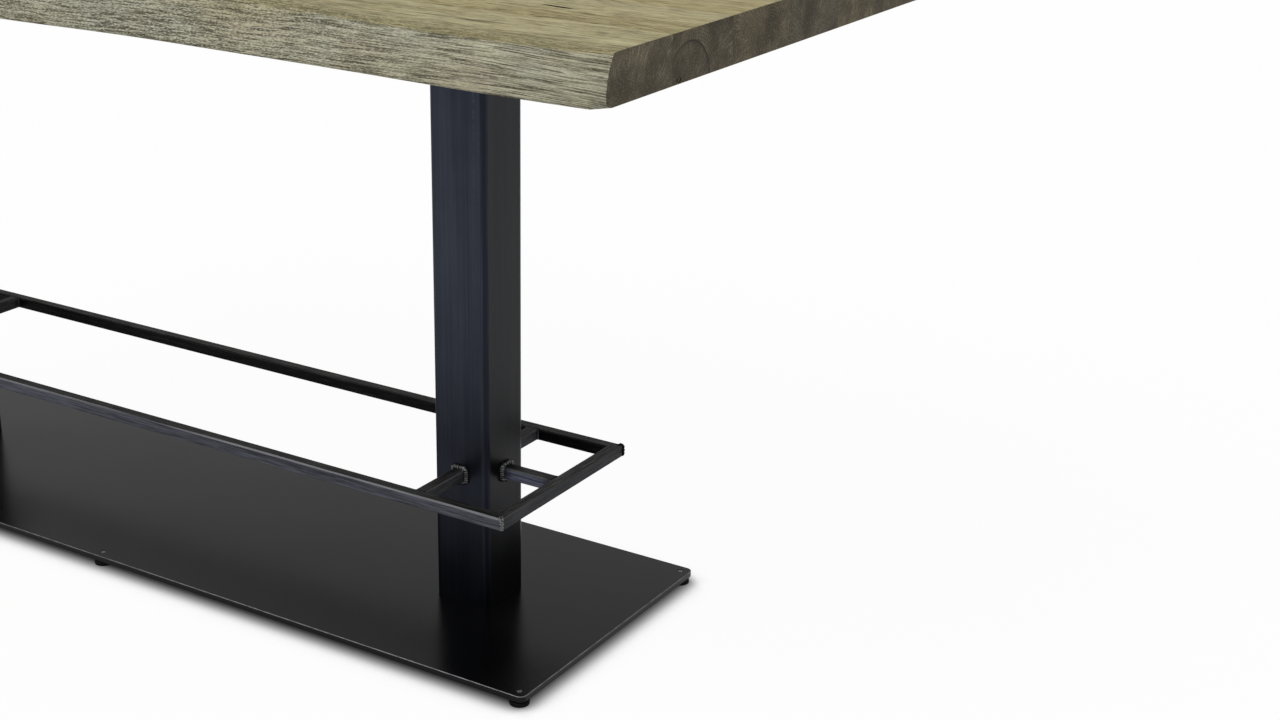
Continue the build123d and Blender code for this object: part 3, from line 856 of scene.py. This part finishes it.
front_oak = oak_finish(
    "front_board_oak", (0, -0.455, 0.9), (0, 0.01, -0.004), 1.0, end_tone=1.05,
    streaks=(
        ((0.79, -0.3985), (0.874, -0.393), 0.0035, 0.6),
        ((0.85, -0.4015), (0.932, -0.3965), 0.0075, 0.85),
        ((1.0, -0.424), (1.076, -0.413), 0.0042, 0.6),
    ),
)
natural_board("live_board_front", front_oak, -1, front_dips, front_leans)
rear_oak = oak_finish("rear_board_oak", (0, 0.43, 0.88), (0, -0.008, 0.005), 2.0, (1.0, 1.0, 0.98), figure=0.3)
natural_board("live_board_rear", rear_oak, 1, rear_dips, rear_leans)
crack = ((0.914, -0.2655, top_high), (0.021, 0.0024, 0.006), -0.124)
nail_hole = ((half_top, -0.322, top_low + 0.0052), 0.003, 0.003)
board_2_oak = oak_finish(
    "board_2_oak", (0, -0.3, 0.955), (0, 0.012, 0.006), 3.0, (1.03, 1.02, 1.0), 0.5, 0.9, moon=(-0.298, 0.955, 0.05),
    streaks=(
        ((0.88, -0.262), (0.95, -0.269), 0.005, 0.9),
        ((0.862, -0.2925), (1.05, -0.3095), 0.0024, 0.65),
        ((1.04, -0.309), (1.119, -0.3305), 0.0035, 0.65),
    ),
    shaded_hollows=(crack, (nail_hole[0], (0.0024, 0.0046, 0.0029), 0.0)),
)
plain_board("board_2", board_2_oak, bolt_rows[0], (open_crack(*crack), drilled(*nail_hole)))
for node, heart, turn, shift, tone, rings, figure, insert_row in (
    ("board_3", (0, -0.105, 1.004), (0, 0.02, 0.01), 4.0, (0.98, 0.955, 0.9), 1.0, 0.2, bolt_rows[1]),
    ("board_4", (0, 0.03, 0.93), (0, -0.015, -0.004), 5.0, (0.84, 0.84, 0.85), 0.3, 0.6, None),
    ("board_5", (0, 0.2, 1.06), (0, 0.012, 0.008), 6.0, (1.07, 1.04, 0.97), 0.3, 0.25, bolt_rows[2]),
    ("board_6", (0, 0.27, 0.9), (0, -0.01, 0.003), 7.0, (0.88, 0.86, 0.83), 0.3, 0.7, bolt_rows[3]),
):
    plain_board(node, oak_finish(node + "_oak", heart, turn, shift, tone, rings, figure=figure), insert_row)


# Weld beads
def along_line(line, distance):
    """The point on a line at a distance from its start, the way it runs there and the way its crest faces."""
    for (a, out_a), (b, out_b) in zip(line, line[1:]):
        step = (b - a).length
        if distance <= step + 1e-9:
            break
        distance -= step
    share = min(distance / step, 1.0)
    return a.lerp(b, share), (b - a).normalized(), out_a.lerp(out_b, share).normalized()


def bead(name, line, thick, pool=0.0027, seed=1, lit_level=1.0):
    """Weld metal laid along a line in overlapping pools; it closes on itself where the line does."""
    chance = random.Random(seed)
    length = sum((b - a).length for (a, _), (b, _) in zip(line, line[1:]))
    closed = (line[0][0] - line[-1][0]).length < 1e-6
    pools = round(length / pool)
    sizes = [chance.uniform(0.84, 1.1) for _ in range(pools)]
    unselect()
    bpy.ops.mesh.primitive_grid_add(x_subdivisions=pools * 5, y_subdivisions=14, size=1)
    run = begin(name)
    mesh = bmesh.from_edit_mesh(run.data)
    glint_mark = mesh.verts.layers.float.new("pools")
    for v in mesh.verts:
        share, turn = v.co.x + 0.5, (v.co.y + 0.5) * 2 * math.pi
        point, ahead, out = along_line(line, share * length)
        crest = (share * pools - 0.45 * math.cos(turn)) % pools
        ripple = math.sqrt(abs(math.sin(math.pi * crest)))
        # This mark sets where the finish paints highlights on the pool crests; a last argument under 1 lowers it,
        # painting the bead in shade.
        v[glint_mark] = ripple - 2 * (1 - lit_level)
        swell = sizes[int(crest) % pools] * (0.78 + 0.22 * ripple)
        if not closed:
            swell *= math.sqrt(max(0.0, 1 - abs(2 * share - 1) ** 6))
        v.co = point + thick * swell * (math.cos(turn) * out + math.sin(turn) * ahead.cross(out))
    bmesh.update_edit_mesh(run.data)
    bpy.ops.mesh.select_all(action="SELECT")
    bpy.ops.mesh.remove_doubles(threshold=1e-5)
    bpy.ops.mesh.normals_make_consistent(inside=False)
    return alone(run)


def square_line(half, corner, lift):
    """A line round a square with round corners, lifted off its plane, with its crest facing outwards and up."""
    line = []
    for quarter in range(4):
        turn = Matrix.Rotation(quarter * math.pi / 2, 3, "Z")
        for step in range(9):
            angle = math.pi / 2 * step / 8
            out = Vector((math.cos(angle), math.sin(angle), 0))
            spot = Vector((half - corner, half - corner, lift)) + corner * out
            line.append((turn @ spot, turn @ (out + Vector((0, 0, 1))).normalized()))
    return line + line[:1]


def upright_line(foot, rise, out):
    return [(foot, out), (foot + Vector((0, 0, rise)), out)]


def corner_line(x_side, y_side):
    """Up the outside of a mitred corner and over onto its upper face."""
    out = Vector((x_side, y_side, 0)).normalized()
    corner = Vector((x_side * rail_out_x, y_side * rail_out_y, rail_level))
    up = Vector((0, 0, 1))
    steps = (
        (0.0013, -0.0095, 0.0), (0.0013, 0.0072, 0.0), (0.0022, 0.0088, 0.6), (0.0042, 0.0094, 1.3),
        (0.0105, 0.0093, 1.5))
    return [
        (corner - back * out + rise * up, math.cos(tip) * out + math.sin(tip) * up)
        for back, rise, tip in steps
    ]


def laid(piece, way, foot):
    """Turns a bead made in the XY plane so that it faces a way from a foot."""
    piece.data.transform(Matrix.Translation(foot) @ Vector(way).to_track_quat("Z", "Y").to_matrix().to_4x4())
    return piece


def weld(node, beads, finish=weld_metal):
    done(together(node + "_beads", beads), finish, node, 50)


for end, sign in (("left", -1), ("right", 1)):
    middle = Vector((sign * column_x, 0, rail_level))
    ways = {
        "front": (Vector((0, -1, 0)), stub_long),
        "rear": (Vector((0, 1, 0)), stub_long),
        "end": (Vector((sign, 0, 0)), stub_short),
    }
    rings, uprights = [], []
    for count, (place, (way, length)) in enumerate(ways.items()):
        line = square_line(0.0115, 0.0045, 0.0014)
        ring = bead(f"ring_{place}", line, 0.0051, pool=0.0031, seed=7 * count + sign)
        rings.append(laid(ring, way, middle + column_half * way))
        flank = Vector((-way.y, way.x, 0))
        for turn in (-1, 1):
            foot = middle + (column_half + length - 0.0006) * way + turn * (rail_half + 0.0006) * flank
            line = upright_line(foot - Vector((0, 0, 0.0088)), 0.0176, (turn * flank - way).normalized())
            uprights.append(bead(f"upright_{place}", line, 0.0029, seed=11 * count + turn))
    weld(f"stub_welds_{end}", rings)
    weld(f"rail_welds_{end}", uprights)
# The rear corner welds get a lower level: painted shade.
corners = [
    bead("corner", corner_line(x_side, y_side), 0.0036, 0.0028, 20 + 3 * x_side + y_side, 1.0 if y_side < 0 else 0.35)
    for x_side in (-1, 1)
    for y_side in (-1, 1)
]
weld("corner_welds", corners, bright_weld)
heads = []
for sign in (-1, 1):
    line = square_line(column_half + 0.0015, column_round + 0.0015, 0.0015)
    head = bead("head", line, 0.0042, pool=0.0034, seed=30 + sign)
    heads.append(laid(head, (0, 0, -1), (sign * column_x, 0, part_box("head_plate_right")[0].z)))
weld("head_welds", heads)


# Screw feet
def foot_pad():
    """A moulded pad with a rounded rim, a ring groove and a socket for its stud."""
    pad = rod("foot_pad", 64, pad_radius, pad_height, (0, 0, pad_height / 2))
    eased(pad, 0.002, every(lambda p: p.z > pad_height - 0.0001), 5)
    eased(pad, 0.0008, every(lambda p: p.z < touch))
    pick(pad, "FACE", lambda f: f.normal.z > 0.99 and len(f.verts) > 8)
    for inward in (0.0012, 0.0016, 0.00615):
        bpy.ops.mesh.inset(thickness=inward)
    bpy.ops.mesh.extrude_region_move(TRANSFORM_OT_translate={"value": (0, 0, -0.004)})
    pick(pad, "FACE", lambda f: f.normal.z > 0.99 and 0.0104 < f.calc_center_median().xy.length < 0.0116)
    bpy.ops.mesh.extrude_region_move(TRANSFORM_OT_translate={"value": (0, 0, -0.0006)})
    return alone(pad)


def foot_stud():
    """A threaded stud with a hexagon collar that stops under the base plate."""
    stud = rod("foot_stud", 24, thread_radius, 0.0167, (0, 0, 0.01135))
    pick(stud, "EDGE", lambda e: abs(reach(e).z) > 0.01)
    bpy.ops.mesh.subdivide(number_cuts=79)
    mesh = bmesh.from_edit_mesh(stud.data)
    for v in mesh.verts:
        turn = math.atan2(v.co.y, v.co.x) / (2 * math.pi)
        crest = abs(((v.co.z / thread_pitch + turn) % 1.0) * 2 - 1)
        inward = 0.00004 + 0.0006 * max(0.0, 1.1 * crest - 0.1) + max(0.0, v.co.z - 0.0189)
        v.co.xy *= 1 - inward / thread_radius
    bmesh.update_edit_mesh(stud.data)
    pick(stud, "FACE", lambda f: f.normal.z > 0.99 and f.calc_center_median().z > 0.019)
    bpy.ops.mesh.inset(thickness=0.0006)
    bpy.ops.mesh.inset(thickness=0.0003)
    mesh = bmesh.from_edit_mesh(stud.data)
    # The rim mark sets where the finish paints the end bright: partly bare steel, partly a painted highlight.
    rim = mesh.verts.layers.float.new("rim")
    for v in mesh.verts:
        v[rim] = (1.0 if v.co.xy.length > 0.0025 else 0.6) if v.co.z > 0.019 else 0.0
    bmesh.update_edit_mesh(stud.data)
    bpy.ops.mesh.select_all(action="DESELECT")
    bpy.ops.mesh.primitive_cylinder_add(
        vertices=6, radius=hexagon, depth=0.003, location=(0, 0, 0.0085), rotation=(0, 0, math.pi / 6))
    collar = every(lambda p: p.xy.length > 0.007)
    eased(stud, 0.0004, lambda e: collar(e) and abs(reach(e).z) < touch)
    return alone(stud)


pad, stud = foot_pad(), foot_stud()
for place, (x, y) in feet.items():
    put = Matrix.Translation((x, y, 0))
    moulded = twin(pad, f"foot_pad_{place}_moulded", put)
    done(moulded, pad_black, f"foot_pad_{place}", body=f"pad_{place}")
    threaded = twin(stud, f"foot_stud_{place}_threaded", put)
    done(threaded, stud_black, f"foot_stud_{place}", body=f"stud_{place}")
bpy.data.objects.remove(pad)
bpy.data.objects.remove(stud)


# Bolts under the top
def head_bolt():
    """A hexagon bolt, its head chamfered and dished below."""
    bolt = rod("head_bolt", 6, hexagon, 0.0053, (0, 0, 0.94535), rotation=(0, 0, math.pi / 6))
    eased(bolt, 0.0008, every(lambda p: p.z < 0.9428))
    pick(bolt, "FACE", lambda f: f.normal.z < -0.99)
    bpy.ops.mesh.inset(thickness=0.0012)
    bpy.ops.mesh.inset(thickness=0.0004)
    bpy.ops.transform.translate(value=(0, 0, 0.0004))
    bpy.ops.mesh.select_all(action="DESELECT")
    bpy.ops.mesh.primitive_cylinder_add(vertices=24, radius=thread_radius, depth=0.025, location=(0, 0, 0.9605))
    eased(bolt, 0.0008, every(lambda p: p.z > 0.9729), 1)
    return alone(bolt)


bolt = head_bolt()
bolts = [
    twin(bolt, "bolt", Matrix.Translation((sign * column_x + step, y, 0)))
    for sign in (-1, 1)
    for step in (-bolt_step, bolt_step)
    for y in bolt_rows
]
bpy.data.objects.remove(bolt)
done(together("head_bolts_zinc", bolts), zinc_steel, "head_bolts")

# Floor: white to the eye, with a painted soft shadow close to the feet and the plate, which an occlusion node draws
# into its emission
unselect()
bpy.ops.mesh.primitive_plane_add(size=60, location=(0, 0, 0))
floor = bpy.context.object
floor.name = "floor"
paper = Finish("white_floor", roughness=0.9, gloss=0.1)
paper.to_shader(paper.mix(paper.cloudy(3), (0.8, 0.8, 0.8), (0.82, 0.82, 0.82)))
floor.data.materials.append(paper.material)
near = paper.new("AmbientOcclusion", {"Distance": 0.06})
shadow = paper.ramp(
    near.outputs["AO"], (0.04, 0.006), (0.12, 0.03), (0.17, 0.063), (0.22, 0.1), (0.29, 0.138), (0.39, 0.18),
    (0.5, 0.225), (0.58, 0.285), (0.66, 0.395), (0.73, 0.485), (0.8, 0.63), (0.86, 0.79), (0.9, 0.92), (0.94, 1.0))
glow = paper.new("Emission", {"Color": shadow, "Strength": 1.0})
blend = paper.either(paper.times(paper.backdrop(), 0.95), paper.shader.outputs[0], glow.outputs[0])
paper.links.new(blend, paper.nodes["Material Output"].inputs["Surface"])

# Studio: an even room, white behind the table, with a darker ceiling in what gloss shows
world = bpy.data.worlds.new("studio")
bpy.context.scene.world = world
world.use_nodes = True
room = Nodes(world.node_tree)
lit = room.nodes["Background"]
lit.inputs["Color"].default_value = (1, 1, 1, 1)
lit.inputs["Strength"].default_value = 0.6
white = room.new("Background", {"Color": (1, 1, 1, 1), "Strength": 1.0})
sideways, _, rise = room.apart(room.new("TexCoord").outputs["Generated"])
ceiling = room.spread(room.stacked(sideways, -0.27, rise), 0.58, 0.74, 1.0, 0.12)
mirrored = room.new("Background", {"Strength": ceiling})
seen = room.either(room.backdrop(), lit.outputs[0], white.outputs[0])
seen = room.either(room.new("LightPath").outputs["Is Glossy Ray"], seen, mirrored.outputs[0])
room.links.new(seen, room.nodes["World Output"].inputs["Surface"])

bpy.ops.object.light_add(type="SUN", location=(-1.5, -3, 4))
key = bpy.context.object
key.name = "key_light"
key.data.energy = 1.7
key.data.angle = math.radians(45)
key.rotation_euler = Vector((0.4, 0.75, -0.85)).to_track_quat("-Z", "Y").to_euler()

# Camera
yaw, pitch, roll = (math.radians(a) for a in (32.655, 20.574, 0.416))
turned = Matrix.Rotation(yaw, 3, "Z") @ Matrix.Rotation(math.pi / 2 - pitch, 3, "X") @ Matrix.Rotation(roll, 3, "Z")
bpy.ops.object.camera_add(location=(2.23743, -2.30341, 1.44864))
camera = bpy.context.object
camera.rotation_euler = turned.to_euler()
camera.data.sensor_width = 36
camera.data.lens = 55.298
camera.data.shift_x = 0.05727
camera.data.shift_y = 0.01053
bpy.context.scene.camera = camera
bpy.context.scene.view_settings.view_transform = "Standard"
